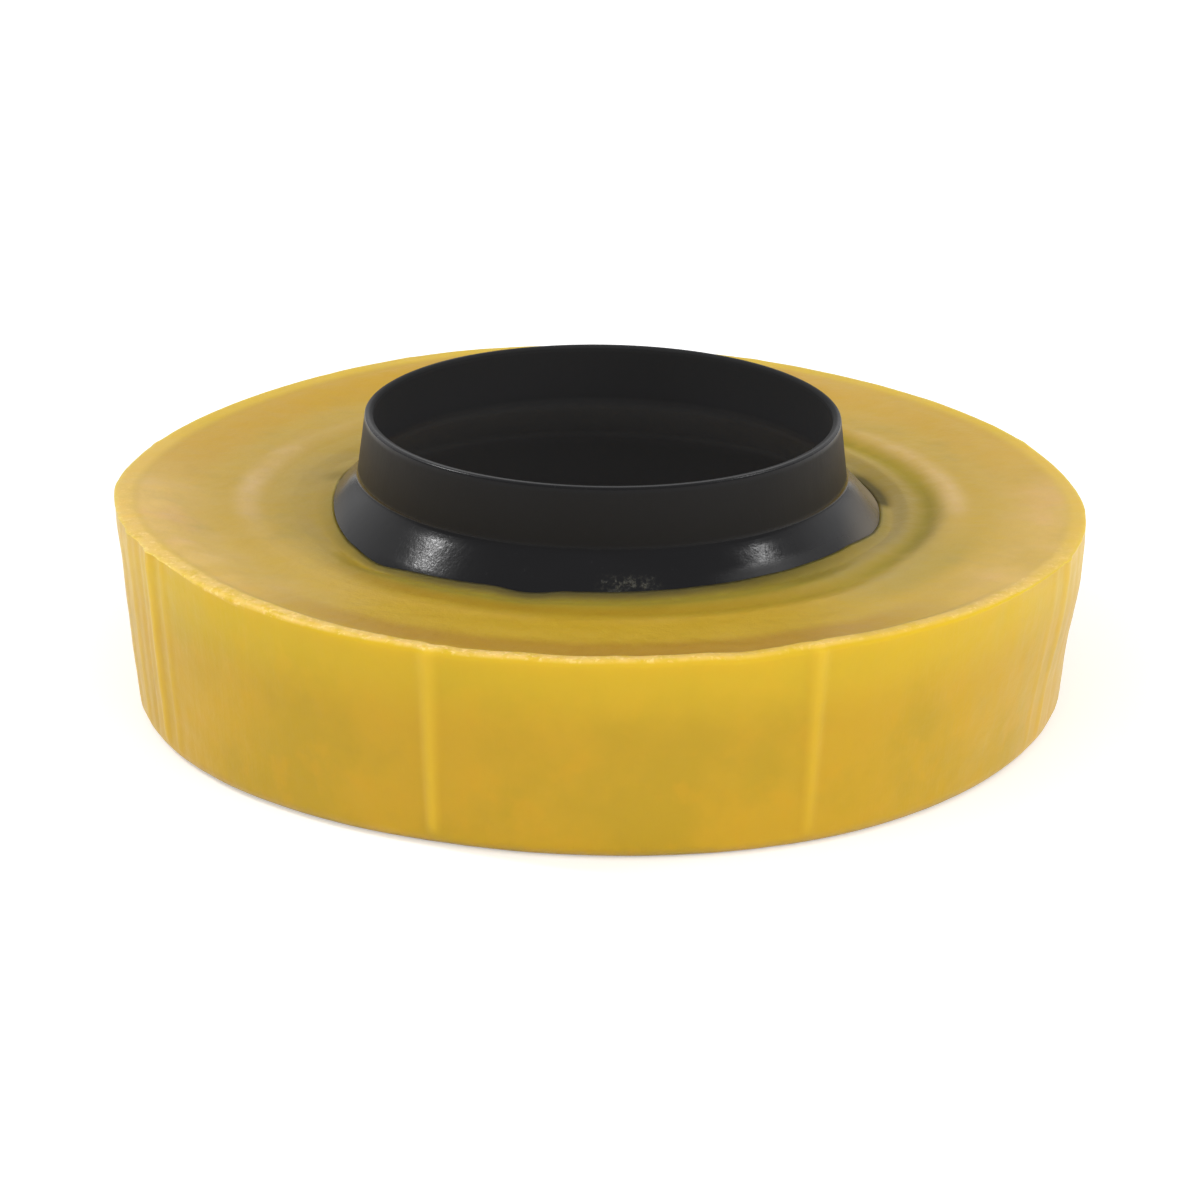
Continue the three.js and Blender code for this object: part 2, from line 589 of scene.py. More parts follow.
    def _face_colour(self, board: Board, at: Place, streak: Signal) -> bpy.types.NodeSocket:
        """Lays the face's colours on the wall's.

        Args:
            board: The material's nodes.
            at: The place on the seal.
            streak: The streaks along the ring.

        Returns:
            The colour of wall and face.
        """
        toward = at.away / at.radius
        masks = FaceMasks(
            face=board.step(at.height, *self.face_height) * board.step(at.radius, *self.face_edge),
            front=board.step(toward, *self.front_side),
            nearest=board.step(toward, *self.nearest_side),
            back=board.step(toward, *self.back_side),
            right=board.step(at.across, *self.right_across),
            patch=board.blotches(at.point, self.patches) * self.patch_share,
        )
        colour = self._wall_colour(board, at)
        # Painted shade: the face is laid darker than the wall.
        colour = board.mix(masks.face * self.face_shade_share, colour, self.field)
        colour = self._painted_sheen_outside(board, at, masks, colour)
        colour = self._painted_shade_and_crest_light(board, at, masks, colour)
        colour = self._darker_at_horn(board, at, masks, colour)
        groove = board.reading(Mark.GROOVE) * board.step(streak, *self.groove_streaks)
        colour = board.mix(groove * self.groove_share, colour, self.moss)
        # The dark at the horn: partly the black plastic under thin wax, partly painted shade in the gap
        # and the crack where the wax meets the skirt.
        return board.mix(board.reading(Mark.CONTACT), colour, self.shade)

    def _painted_sheen_outside(
        self, board: Board, at: Place, masks: FaceMasks, colour: bpy.types.NodeSocket
    ) -> bpy.types.NodeSocket:
        """Lays painted sheen, paler outwards and weaker at the back and far right, with rose and olive
        patches, on the outer part of the face, except at its front.

        Args:
            board: The material's nodes.
            at: The place on the seal.
            masks: The face's masks.
            colour: The colour so far.

        Returns:
            The colour with the painted sheen and the patches.
        """
        # Painted sheen: the outer face is laid paler, as its reflection of the bright room, except at the
        # front.
        outside = board.step(at.radius, *self.pale_radius) * (1.0 - masks.front) * masks.face
        far_right = board.step(at.across, *self.far_right_across) * self.far_right_loss
        outside = outside * (1.0 - far_right)
        behind_left = masks.back * board.step(at.across, *self.left_across) * self.behind_left_loss
        outside = outside * (1.0 - masks.back * self.back_loss - behind_left)
        colour = board.mix(outside * (self.pale_least + masks.patch), colour, self.pale)
        tinge = board.blotches(at.point, self.tinges) * self.rose_share
        colour = board.mix(outside * tinge, colour, self.rose)
        dapple = board.blotches(at.wrapped, self.dapples) * board.band(at.radius, *self.dapple_radius)
        dapple = dapple * (1.0 - masks.front) * masks.face
        return board.mix(dapple * self.dapple_share, colour, self.olive)

    def _painted_shade_and_crest_light(
        self, board: Board, at: Place, masks: FaceMasks, colour: bpy.types.NodeSocket
    ) -> bpy.types.NodeSocket:
        """Lays painted shade on the far edge, under the near lip and in a thin line inside the lip's
        front, and a painted highlight on the groove's crest.

        Args:
            board: The material's nodes.
            at: The place on the seal.
            masks: The face's masks.
            colour: The colour so far.

        Returns:
            The colour with the painted shade and highlight.
        """
        # Painted shade: the back edge is laid a deeper amber, where the face slopes away and takes less
        # sheen.
        edge = board.step(at.radius, *self.back_edge) * masks.back * masks.face
        edge = edge * (self.back_edge_share - masks.right * self.back_edge_loss)
        colour = board.mix(edge, colour, self.amber)
        # Painted shade: a brown band in the dip just inside the near lip.
        under_lip = board.band(at.radius, *self.under_lip) * masks.nearest * masks.face
        colour = board.mix(under_lip * self.under_lip_share, colour, self.brown)
        # Painted shadow: a thin brown line at the foot of the lip's inner slope, at the front.
        lip_shadow = board.band(at.radius, *self.lip_shadow_radius) * board.band(at.bearing, *self.lip_shadow_bearing)
        colour = board.mix(lip_shadow * masks.face * self.lip_shadow_share, colour, self.brown)
        # Painted highlight: the groove's outer crest is laid lighter, where its slope faces the light.
        crest = board.reading(Mark.CREST) * (self.crest_least + masks.patch)
        return board.mix(crest, colour, self.blush)

    def _darker_at_horn(
        self, board: Board, at: Place, masks: FaceMasks, colour: bpy.types.NodeSocket
    ) -> bpy.types.NodeSocket:
        """Lays olive on the wax round the horn, partly painted shade and partly the black plastic seen
        through thin wax, with an olive patch to the front right, and a brown ring of painted shade in
        front of it.

        Args:
            board: The material's nodes.
            at: The place on the seal.
            masks: The face's masks.
            colour: The colour so far.

        Returns:
            The colour with the dark wax.
        """
        # Partly painted shade: the wax is laid darker towards the horn, most at the front.
        share = self.horn_share + masks.front * self.horn_front_share
        share = share + masks.right * self.horn_right_share
        olive_patch = board.band(at.bearing, *self.olive_patch_bearing) * board.band(at.radius, *self.olive_patch_radius)
        dark = board.step(at.radius, *self.horn_radius) * share + olive_patch * self.olive_patch_share
        colour = board.mix(dark * masks.face, colour, self.olive)
        # Painted shade: a brown ring in the wax in front of the horn.
        ring = board.band(at.radius, *self.front_ring) * masks.front * masks.face
        return board.mix(ring * self.front_ring_share, colour, self.brown)

    def _relief(self, board: Board, at: Place, streak: Signal) -> bpy.types.NodeSocket:
        """Adds the soft swells, drag marks and pores of the wax's skin.

        Args:
            board: The material's nodes.
            at: The place on the seal.
            streak: The streaks along the ring.

        Returns:
            The normal.
        """
        normal = board.bump(board.noise(at.point, self.swells), self.swell_depth)
        drag = board.vector(
            at.across * self.drag_level, at.away * self.drag_level, at.height * self.drag_upright
        )
        normal = board.bump(board.noise(drag, self.drags), self.drag_depth, normal)
        normal = board.bump(streak, self.streak_depth, normal)
        return board.bump(board.noise(at.point, self.pores), self.pore_depth, normal)


@dataclass(frozen=True)
class HornFinish:
    """Black moulded polyethylene: satin, with faint draw marks, handling scuffs and a wax film, with
    painted sheen on the skirt's left end and painted light inside.

    Spans and bands are in millimetres, or in radians where they are bearings. A roughness is what a mark
    adds to the plain plastic's. The inside of the sleeve and of the skirt are cones, so their radius
    grows by a slope on the way down.
    """

    base: Colour = (0.0098, 0.0098, 0.0108)
    # Painted light: the inside, and more the depth, is the black plastic laid lighter, for light in the
    # bore.
    inside: Colour = (0.0155, 0.0155, 0.0160)
    depth: Colour = (0.0170, 0.0170, 0.0184)
    worn: Colour = (0.026, 0.026, 0.028)
    # film is the wax film's colour, also laid on the skirt's left end as painted sheen.
    film: Colour = (0.260, 0.205, 0.130)
    dust: Colour = (0.085, 0.082, 0.062)

    # How the skin takes light.
    refraction: float = 1.5
    gloss: float = 0.24
    roughness: float = 0.165
    smear_roughness: float = 0.08
    drawn_roughness: float = 0.04
    worn_roughness: float = 0.1
    film_roughness: float = 0.3
    inside_roughness: float = 0.35
    back_rim_roughness: float = 0.3
    rim_roughness: float = 0.1
    crumb_roughness: float = 0.3
    front_foot_roughness: float = 0.22
    sleeve_roughness: float = 0.34

    # Patterns and relief.
    draws: Grain = Grain(0.8, 3.0)
    draw_level: float = 0.9
    draw_upright: float = 0.1
    smears: Grain = Grain(0.11)
    flecks: Blotches = Blotches(1.1, 3.0, 0.7, (0.62, 0.80))
    pores: Grain = Grain(2.4, 3.0)
    draw_depth: float = 0.02 * MM
    pore_depth: float = 0.01 * MM

    # Parts of the horn.
    sleeve_slope: float = 0.116
    sleeve_inside: Span = (37.0, 36.5)
    skirt_slope: float = 0.907
    skirt_inside: Span = (62.1, 61.5)
    depth_height: Span = (40.0, 33.0)
    worn_smears: Span = (0.45, 0.65)
    worn_share: float = 0.6
    back_rim_height: Span = (39.9, 40.3)
    back_rim_away: Span = (-6.0, 10.0)
    rim_height: Span = (39.8, 40.2)
    front_foot_bearing: Band = (-1.15, -0.45, 0.15)
    front_foot_height: Span = (29.6, 28.4)
    sleeve_height: Band = (32.5, 39.9, 0.4)

    # The wax film on the skirt's right end, and the painted sheen on its left end.
    skirt_top: Span = (32.2, 30.6)
    skirt_foot: Span = (24.0, 25.0)
    skirt_outside: Span = (33.2, 34.2)
    film_right: Span = (31.5, 39.0)
    film_right_share: float = 0.36
    film_behind: Span = (-2.5, 4.0)
    film_behind_share: float = 0.54
    painted_sheen_left: Span = (-34.0, -39.0)
    painted_sheen_left_share: float = 0.27
    film_smears: Span = (0.1, 0.5)

    # The crumbs at its foot.
    crumbs: Blotches = Blotches(1.5, 4.0, 0.7, (0.46, 0.72))
    crumb_bearing: Band = (-1.56, -1.38, 0.05)
    crumb_height: Band = (27.4, 29.2, 0.7)
    crumb_share: float = 0.8
    crumb_depth: float = 0.15 * MM

    def make(self) -> bpy.types.Material:
        """Builds the material.

        Returns:
            The plastic material.
        """
        board = Board.of_material("black_polyethylene")
        at = Place.on(board)
        drawn = board.vector(
            at.across * self.draw_level, at.away * self.draw_level, at.height * self.draw_upright
        )
        drawn = board.noise(drawn, self.draws)
        smear = board.noise(at.point, self.smears)
        worn = board.blotches(at.point, self.flecks) * board.step(smear, *self.worn_smears)
        inside = self._inside(board, at)
        film_and_sheen = self._film_and_sheen(board, at, smear)
        crumbs = self._crumbs(board, at)

        # Painted light: the inside is laid lighter than the outside, and more so deep down.
        painted_light_inside = board.mix(board.step(at.height, *self.depth_height), self.inside, self.depth)
        colour = board.mix(inside, self.base, painted_light_inside)
        colour = board.mix(worn * self.worn_share, colour, self.worn)
        # The wax film on the skirt's right, and painted sheen on its left end.
        colour = board.mix(film_and_sheen, colour, self.film)
        colour = board.mix(crumbs, colour, self.dust)

        rough = self.roughness + (smear - 0.5) * self.smear_roughness
        rough = rough + (drawn - 0.5) * self.drawn_roughness + worn * self.worn_roughness
        rough = rough + film_and_sheen * self.film_roughness + crumbs * self.crumb_roughness
        rough = rough + inside * self.inside_roughness + self._outside_roughness(board, at)

        normal = board.bump(drawn, self.draw_depth)
        pores = board.noise(at.point, self.pores) * (1.0 - inside)
        normal = board.bump(pores, self.pore_depth, normal)
        shader = board.add(
            "ShaderNodeBsdfPrincipled",
            None,
            {
                "Base Color": colour,
                "Roughness": rough,
                "IOR": self.refraction,
                "Specular IOR Level": self.gloss,
                "Normal": board.bump(crumbs, self.crumb_depth, normal),
            },
        )
        return board.finish(shader.outputs[0])

    def _inside(self, board: Board, at: Place) -> Signal:
        """Marks the inside of the sleeve and of the skirt.

        Args:
            board: The material's nodes.
            at: The place on the seal.

        Returns:
            1 inside and 0 outside.
        """
        sleeve = board.step(at.radius + at.height * self.sleeve_slope, *self.sleeve_inside)
        skirt = board.step(at.radius + at.height * self.skirt_slope, *self.skirt_inside)
        return board.math("MAXIMUM", sleeve, skirt)

    def _outside_roughness(self, board: Board, at: Place) -> Signal:
        """Says how much duller the rim, the sleeve and the skirt's foot at the front right are.

        Args:
            board: The material's nodes.
            at: The place on the seal.

        Returns:
            What they add to the roughness.
        """
        back_rim = board.step(at.height, *self.back_rim_height)
        back_rim = back_rim * board.step(at.away, *self.back_rim_away) * self.back_rim_roughness
        rim = board.step(at.height, *self.rim_height) * self.rim_roughness
        foot = board.band(at.bearing, *self.front_foot_bearing)
        foot = foot * board.step(at.height, *self.front_foot_height) * self.front_foot_roughness
        sleeve = board.band(at.height, *self.sleeve_height) * self.sleeve_roughness
        return back_rim + rim + foot + sleeve

    def _film_and_sheen(self, board: Board, at: Place, smear: Signal) -> Signal:
        """Marks the thin wax film on the skirt's right side and the painted sheen on its left side.

        Args:
            board: The material's nodes.
            at: The place on the seal.
            smear: The smears that thin the film.

        Returns:
            How much of the film and the painted sheen shows.
        """
        skirt = board.step(at.height, *self.skirt_top) * board.step(at.height, *self.skirt_foot)
        skirt = skirt * board.step(at.radius, *self.skirt_outside)
        behind = board.step(at.away, *self.film_behind) * self.film_behind_share
        right = board.step(at.across, *self.film_right) * (self.film_right_share + behind)
        # Painted sheen on the skirt's left end, where it turns from view.
        left = board.step(at.across, *self.painted_sheen_left) * self.painted_sheen_left_share
        return (right + left) * skirt * board.step(smear, *self.film_smears)

    def _crumbs(self, board: Board, at: Place) -> Signal:
        """Marks the wax crumbs that stick to the skirt's foot, a little right of its front.

        Args:
            board: The material's nodes.
            at: The place on the seal.

        Returns:
            How much of the crumbs shows.
        """
        place = board.band(at.bearing, *self.crumb_bearing) * board.band(at.height, *self.crumb_height)
        return place * board.blotches(at.point, self.crumbs) * self.crumb_share


@dataclass(frozen=True)
class FloorFinish:
    """A plain pale floor that looks white to the viewer and still takes the seal's shadow."""

    shade: float = 0.8
    glow: float = 0.36

    def make(self) -> bpy.types.Material:
        """Builds the material.

        Returns:
            The floor's material.
        """
        board = Board.of_material("pale_floor")
        path = board.add("ShaderNodeLightPath").outputs
        seen = Signal(board, path["Is Camera Ray"]) + Signal(board, path["Is Transmission Ray"])
        seen = seen + Signal(board, path["Is Glossy Ray"])
        paint = board.add("ShaderNodeBsdfDiffuse", None, {"Color": (self.shade,) * 3})
        light = board.add("ShaderNodeEmission", None, {"Strength": seen * self.glow})
        both = board.add("ShaderNodeAddShader", None, {0: paint.outputs[0], 1: light.outputs[0]})
        return board.finish(both.outputs[0])


@dataclass(frozen=True)
class RoomLight:
    """The soft light of the room: fuller from the viewer's side, with white behind for reflections.

    Spans are shares of a direction's length, away from the viewer or up.
    """

    fill: float = 0.395
    from_front: float = 1.18
    front_away: Span = (0.2, -0.9)
    dim: float = 0.25
    backdrop: float = 0.9
    backdrop_away: Span = (-0.1, 0.6)
    backdrop_up: Span = (-0.05, 0.25)

    def make(self) -> bpy.types.World:
        """Builds the world.

        Returns:
            The world. The viewer sees it as plain white.
        """
        board = Board.of_world("soft_room")
        path = board.add("ShaderNodeLightPath").outputs
        direction = board.add("ShaderNodeTexCoord").outputs["Generated"]
        split = board.add("ShaderNodeSeparateXYZ", None, {"Vector": direction}).outputs
        east, north, up = (Signal(board, split[axis]) for axis in "XYZ")
        away = north * math.cos(VIEW_TURN) - east * math.sin(VIEW_TURN)
        white = board.step(away, *self.backdrop_away) * board.step(up, *self.backdrop_up)
        mirrored = white * (self.backdrop - self.dim) + self.dim
        soft = board.step(away, *self.front_away) * self.from_front + self.fill
        seen = board.math(
            "MAXIMUM", Signal(board, path["Is Camera Ray"]), Signal(board, path["Is Transmission Ray"])
        )
        glossy = Signal(board, path["Is Glossy Ray"])
        strength = seen + (1.0 - seen) * (glossy * mirrored + (1.0 - glossy) * soft)
        light = board.add("ShaderNodeBackground", None, {"Color": (1.0,) * 3, "Strength": strength})
        return board.finish(light.outputs[0])


@dataclass(frozen=True)
class Corner:
    """A corner of an outline: its distance from the axis, its height and how much it is rounded."""

    radius: float
    height: float
    round: float = 0.0


class Outline:
    """A closed outline in the XZ plane that operators round, cut finer and turn into a ring."""

    FACET_TURN: ClassVar[float] = math.radians(12)
    LONGEST_REACH: ClassVar[float] = 0.49
    MERGE_DISTANCE: ClassVar[float] = 2e-6

    def __init__(self, corners: Sequence[Corner]) -> None:
        """Lays the corners out as a closed loop of edges.

        Args:
            corners: The corners, in order round the outline.
        """
        self.mesh = bmesh.new()
        points = [self.mesh.verts.new((c.radius, 0.0, c.height)) for c in corners]
        for first, second in zip(points, points[1:] + points[:1]):
            self.mesh.edges.new((first, second))
        for point, corner in zip(points, corners):
            if corner.round > 0.0:
                self._round_off(point, corner.round)

    def _round_off(self, point: bmesh.types.BMVert, radius: float) -> None:
        """Rounds one corner to a radius, as far as its two edges allow.

        Args:
            point: The corner's vertex.
            radius: The radius of its round.
        """
        arms = [edge.other_vert(point).co - point.co for edge in point.link_edges]
        half_angle = arms[0].angle(arms[1]) / 2
        most = self.LONGEST_REACH * min(arm.length for arm in arms)
        bmesh.ops.bevel(
            self.mesh,
            geom=[point],
            offset=min(radius / math.tan(half_angle), most),
            offset_type="OFFSET",
            segments=max(2, round((math.pi - 2 * half_angle) / self.FACET_TURN)),
            profile=0.5,
            affect="VERTICES",
            material=-1,
        )

    def cut_finer(self, longest: Callable[[Vector], float]) -> Self:
        """Cuts long edges up.

        Args:
            longest: Gives the longest edge that may stay, at a point.

        Returns:
            This outline.
        """
        by_cuts: dict[int, list[bmesh.types.BMEdge]] = {}
        for edge in self.mesh.edges:
            middle = (edge.verts[0].co + edge.verts[1].co) / 2
            cuts = math.ceil(edge.calc_length() / longest(middle)) - 1
            by_cuts.setdefault(cuts, []).append(edge)
        for cuts, edges in by_cuts.items():
            if cuts > 0:
                bmesh.ops.subdivide_edges(self.mesh, edges=edges, cuts=cuts)
        return self

    def turn(self, steps: int) -> bmesh.types.BMesh:
        """Turns the outline about Z into a closed ring whose faces point outwards.

        An eighth of a turn is spun and then doubled three times, which is far quicker than a full spin.

        Args:
            steps: How many sectors the ring has, a multiple of 8.

        Returns:
            The ring's mesh.
        """
        eighth = math.tau / 8
        bmesh.ops.spin(
            self.mesh,
            geom=self.mesh.verts[:] + self.mesh.edges[:],
            cent=(0.0, 0.0, 0.0),
            axis=UP,
            angle=eighth,
            steps=steps // 8,
            use_merge=False,
            use_duplicate=False,
        )
        for sweep in (eighth, 2 * eighth, 4 * eighth):
            everything = self.mesh.verts[:] + self.mesh.edges[:] + self.mesh.faces[:]
            copy = bmesh.ops.duplicate(self.mesh, geom=everything)["geom"]
            points = [item for item in copy if isinstance(item, bmesh.types.BMVert)]
            turned = Matrix.Rotation(sweep, 3, "Z")
            bmesh.ops.rotate(self.mesh, verts=points, cent=(0.0, 0.0, 0.0), matrix=turned)
        bmesh.ops.remove_doubles(self.mesh, verts=self.mesh.verts[:], dist=self.MERGE_DISTANCE)
        bmesh.ops.recalc_face_normals(self.mesh, faces=self.mesh.faces[:])
        return self.mesh


def put_in_scene(
    name: str, mesh: bmesh.types.BMesh, material: bpy.types.Material
) -> bpy.types.Object:
    """Makes an object of a mesh, smooth shaded, with its place in its mesh.

    Args:
        name: The piece's name.
        mesh: Its mesh, which is freed.
        material: Its material.

    Returns:
        The object.
    """
    data = bpy.data.meshes.new(name)
    for face in mesh.faces:
        face.smooth = True
    mesh.to_mesh(data)
    mesh.free()
    data.materials.append(material)
    piece = bpy.data.objects.new(name, data)
    bpy.context.scene.collection.objects.link(piece)
    return piece


@dataclass(frozen=True)
class Lumps:
    """Random unevenness: its lumps per unit, how fast finer ones fade, its octaves and its height."""

    scale: float
    fade: float
    octaves: int
    height: float

    def at(self, spot: Vector) -> float:
        """Reads the unevenness, in which each octave is twice as fine as the last."""
        return noise.fractal(spot * self.scale, self.fade, 2.0, self.octaves) * self.height


@dataclass(frozen=True)
class Wave:
    """Unevenness round the ring: a cosine with a number of peaks, one of them at a bearing in degrees."""

    peaks: int
    size: float
    bearing: float = 0.0

    def at(self, bearing: float) -> float:
        """Reads the wave."""
        return self.size * math.cos(self.peaks * (bearing - math.radians(self.bearing)))


@dataclass(frozen=True)
class Dent:
    """A short rise or dip round the ring: its bearing and half width in degrees, and its height."""

    bearing: float
    half_width: float
    height: float

    def at(self, bearing: float) -> float:
        """Reads the dent."""
        off = turn_between(bearing, math.radians(self.bearing))
        return self.height * hump(off, math.radians(self.half_width))


def total(parts: Sequence[Wave | Dent], bearing: float) -> float:
    """Adds up what waves and dents give on a bearing."""
    return sum(part.at(bearing) for part in parts)


@dataclass(frozen=True)
class Rib:
    """A line down the wall: bearing at its top in degrees, half width, height and shares of it."""

    bearing: float
    half_width: float = 1.9 * MM
    height: float = 0.5 * MM
    top: float = 1.0
    foot: float = 1.0
    lean: float = 0.0

    FADE: ClassVar[Span] = (0.03, 0.12)
    NARROWING: ClassVar[float] = 0.3

    def rise(self, off: float, share: float) -> float:
        """Gives the line's height on the wall.

        Args:
            off: How far round the wall from the line's top.
            share: The share of the ring's height, 1 at the top.

        Returns:
            The height, which fades out at the foot.
        """
        below = 1.0 - share
        width = self.half_width * (1.0 - self.NARROWING * below)
        strength = (self.top - (self.top - self.foot) * below) * smoothstep(*self.FADE, share)
        return self.height * strength * hump(off - self.lean * below, width)


@dataclass(frozen=True)
class Cut:
    """The ring's unevenness on one bearing: what moves its parts, and how strong its marks are."""

    rim: float
    base: float
    lip: float
    creep: float
    bulge: float
    trough: float
    shift: float
    filled: float
    # worn is how strong the lip's painted highlight is, crest the crest's painted highlight, and contact
    # and crack the dark at the horn, partly painted shade.
    worn: float
    crest: float
    contact: float
    crack: float
    rough: float
    spill: float
    ribs: tuple[tuple[Rib, float], ...]

    def ribs_rise(self, share: float) -> float:
        """Gives what the lines on the wall add at a share of its height."""
        return sum(rib.rise(off, share) for rib, off in self.ribs)


@dataclass(frozen=True)
class Zones:
    """Where on the casting its unevenness acts and its marks lie.

    A span is the radius, height or share of the height over which something rises from 0 to 1. It falls
    where the first end is the larger.
    """

    # Marks.
    face_from: float = 25.0 * MM
    wall: Span = (61.8 * MM, 62.8 * MM)
    wall_from_share: float = 0.05
    full_rib: float = 0.5 * MM
    trough_mark: float = 2.6 * MM
    full_trough: Span = (0.0, -0.6 * MM)
    # Where the crest's painted highlight, the dark at the horn and the lip's painted highlight lie.
    crest_radius: float = 48.8 * MM
    crest_mark: float = 3.0 * MM
    contact: Span = (40.8 * MM, 38.2 * MM)
    contact_widening: tuple[float, float] = (0.7 * MM, 1.0 * MM)
    lip: Span = (63.0 * MM, 64.8 * MM)
    below_lip_top: Span = (0.45 * MM, 0.1 * MM)
    spilled: Span = (65.2 * MM, 66.2 * MM)

    # Moves.
    outer: Span = (47.0 * MM, 63.0 * MM)
    open_face: Span = (26.0 * MM, 26.8 * MM)
    ribbed: Span = (61.4 * MM, 62.4 * MM)
    ribbed_from_share: float = 0.02
    ribbed_from_radius: float = 60.0 * MM
    bulge_share: float = 0.72
    bulge_reach: float = 0.45
    lifted_share: Span = (0.35, 1.0)
    lifted: Span = (52.0 * MM, 63.0 * MM)
    near_horn: Span = (47.0 * MM, 38.5 * MM)
    drawn_in: Span = (40.5 * MM, 38.0 * MM)
    trough_reach: float = 3.4 * MM
    face_ripple: float = 0.4
    hollow: Span = (54.0 * MM, 62.5 * MM)


@dataclass
class WaxRing:
    """The wax ring, with the slump, waves and dents that hand-warm wax has.

    Spans of sides are sines of a bearing, so -1 is the side nearest the viewer.
    """

    height: float = 28.5 * MM
    base_radius: float = 63.4 * MM
    top_radius: float = 66.65 * MM
    base_round: float = 2.3 * MM
    lip_round: float = 1.4 * MM
    lip_width: float = 2.2 * MM
    lip_slope: float = 1.6 * MM
    lip_rise: float = 0.8 * MM
    soft_round: float = 1.1 * MM
    crest_radius: float = 49.0 * MM
    crest_rise: float = 0.1 * MM
    trough_radius: float = 45.6 * MM
    trough_depth: float = 0.10 * MM
    face_round: float = 4.0 * MM
    shelf_radius: float = 42.6 * MM
    shelf_depth: float = 0.15 * MM
    shelf_round: float = 5.0 * MM
    creep_radius: float = 40.0 * MM
    creep_depth: float = 0.5 * MM
    creep_round: float = 2.0 * MM
    bore_mouth: float = 41.4 * MM
    bore_seat: float = 40.6 * MM
    bore_round: float = 1.4 * MM
    horn_gap: float = 0.08 * MM
    horn_overlap: float = 0.06 * MM

    # How fine the mesh is.
    steps: int = 720
    fine_edge: float = 0.62 * MM
    wall_edge: float = 0.95 * MM
    wall_radius: float = 60.0 * MM
    wall_height: Span = (3.0 * MM, 25.0 * MM)
    plain_edge: float = 4.0 * MM
    buried_radius: float = 47.5 * MM
    buried_height: Span = (2.0 * MM, 26.0 * MM)
    foot_height: float = 1.0 * MM

    # What moves the wax.
    zones: Zones = Zones()
    crumble: Lumps = Lumps(9.0, 0.7, 4, 0.12 * MM)
    creep_lumps: Lumps = Lumps(3.0, 0.8, 3, 0.10 * MM)
    ripple: Lumps = Lumps(60.0, 0.6, 4, 0.12 * MM)
    noise_height: float = 0.3
    calm: float = 0.3
    calm_side: Span = (0.35, -0.1)
    trough_drop: float = 0.75 * MM
    trough_bearing: float = 15.0
    filled: float = 0.9
    filled_side: Span = (-0.88, -0.42)
    # The least painted highlight on the crest, and the least dark at the horn.
    least_crest: float = 0.1
    least_contact: float = 0.15

    ribs: tuple[Rib, ...] = (
        Rib(-154.4, foot=0.8),
        Rib(-109.4, foot=0.9, lean=-0.35 * MM),
        Rib(-64.8, top=0.9, foot=0.5, lean=0.1 * MM),
        Rib(-19.4, top=0.7, foot=0.4),
        Rib(25.6, top=0.3, foot=0.6),
        Rib(70.6, top=0.35, foot=0.7),
        Rib(115.6, top=0.3, foot=0.5),
        Rib(160.6, top=0.35, foot=0.7),
        Rib(-158.2, 1.5 * MM, -0.25 * MM),
        Rib(-161.8, 1.9 * MM, 0.33 * MM, 0.9),
        Rib(-151.0, 1.4 * MM, 0.18 * MM, 0.9),
        Rib(-167.0, 1.6 * MM, 0.2 * MM, 0.8),
        Rib(-14.0, 1.6 * MM, -0.12 * MM, 0.6),
        Rib(-23.5, 1.3 * MM, 0.14 * MM, 0.9),
    )
    rim_waves: tuple[Wave, ...] = (
        Wave(0, 0.06 * MM),
        Wave(1, 0.30 * MM, 180),
        Wave(1, 0.21 * MM, 120),
        Wave(3, 0.09 * MM, -46),
        Wave(4, 0.10 * MM, -5),
    )
    base_waves: tuple[Wave, ...] = (
        Wave(0, 0.28 * MM),
        Wave(1, 0.30 * MM, 180),
        Wave(1, 0.81 * MM, 56),
        Wave(2, 0.39 * MM, 39),
        Wave(3, 0.34 * MM, 25),
        Wave(4, 0.61 * MM, 25),
    )
    lip_waves: tuple[Wave, ...] = (
        Wave(0, 0.39 * MM),
        Wave(1, 0.55 * MM, 139),
        Wave(2, 0.34 * MM, 73),
        Wave(3, 0.30 * MM, -35),
        Wave(4, 0.28 * MM, 23),
    )
    lip_dents: tuple[Dent, ...] = (
        Dent(35.0, 48.0, -0.36 * MM),
        Dent(12.0, 22.0, -0.35 * MM),
        Dent(150.0, 46.0, -0.34 * MM),
        Dent(168.0, 20.0, -0.25 * MM),
        Dent(-110.0, 3.5, 0.18 * MM),
        Dent(-99.0, 5.0, 0.22 * MM),
        Dent(-73.0, 6.0, -0.30 * MM),
        Dent(-64.8, 2.5, 0.15 * MM),
    )
    creep_dents: tuple[Dent, ...] = (
        Dent(180.0, 34.0, 0.80 * MM),
        Dent(-144.0, 42.0, -0.78 * MM),
        Dent(-105.0, 9.0, -0.50 * MM),
        Dent(-141.0, 10.0, -0.30 * MM),
        Dent(-14.0, 16.0, -0.50 * MM),
        Dent(-50.0, 40.0, 0.20 * MM),
        Dent(8.0, 30.0, -0.95 * MM),
    )
    bulges: tuple[Dent, ...] = (
        Dent(-12.0, 26.0, 0.7 * MM),
        Dent(178.0, 30.0, -0.35 * MM),
    )
    trough_shifts: tuple[Dent, ...] = (Dent(-20.0, 38.0, -1.3 * MM),)
    spills: tuple[Dent, ...] = (Dent(-150.0, 36.0, 1.2 * MM),)
    # How dark the wax at the horn is laid, partly painted shade; the crack dents add painted shade in the
    # gap at the skirt's right end.
    contact_dents: tuple[Dent, ...] = (
        Dent(-95.0, 100.0, 0.95),
        Dent(14.0, 14.0, 0.8),
    )
    crack_dents: tuple[Dent, ...] = (
        Dent(11.0, 10.0, 0.9),
        Dent(19.0, 11.0, 0.6),
        Dent(166.0, 8.0, 0.35),
    )
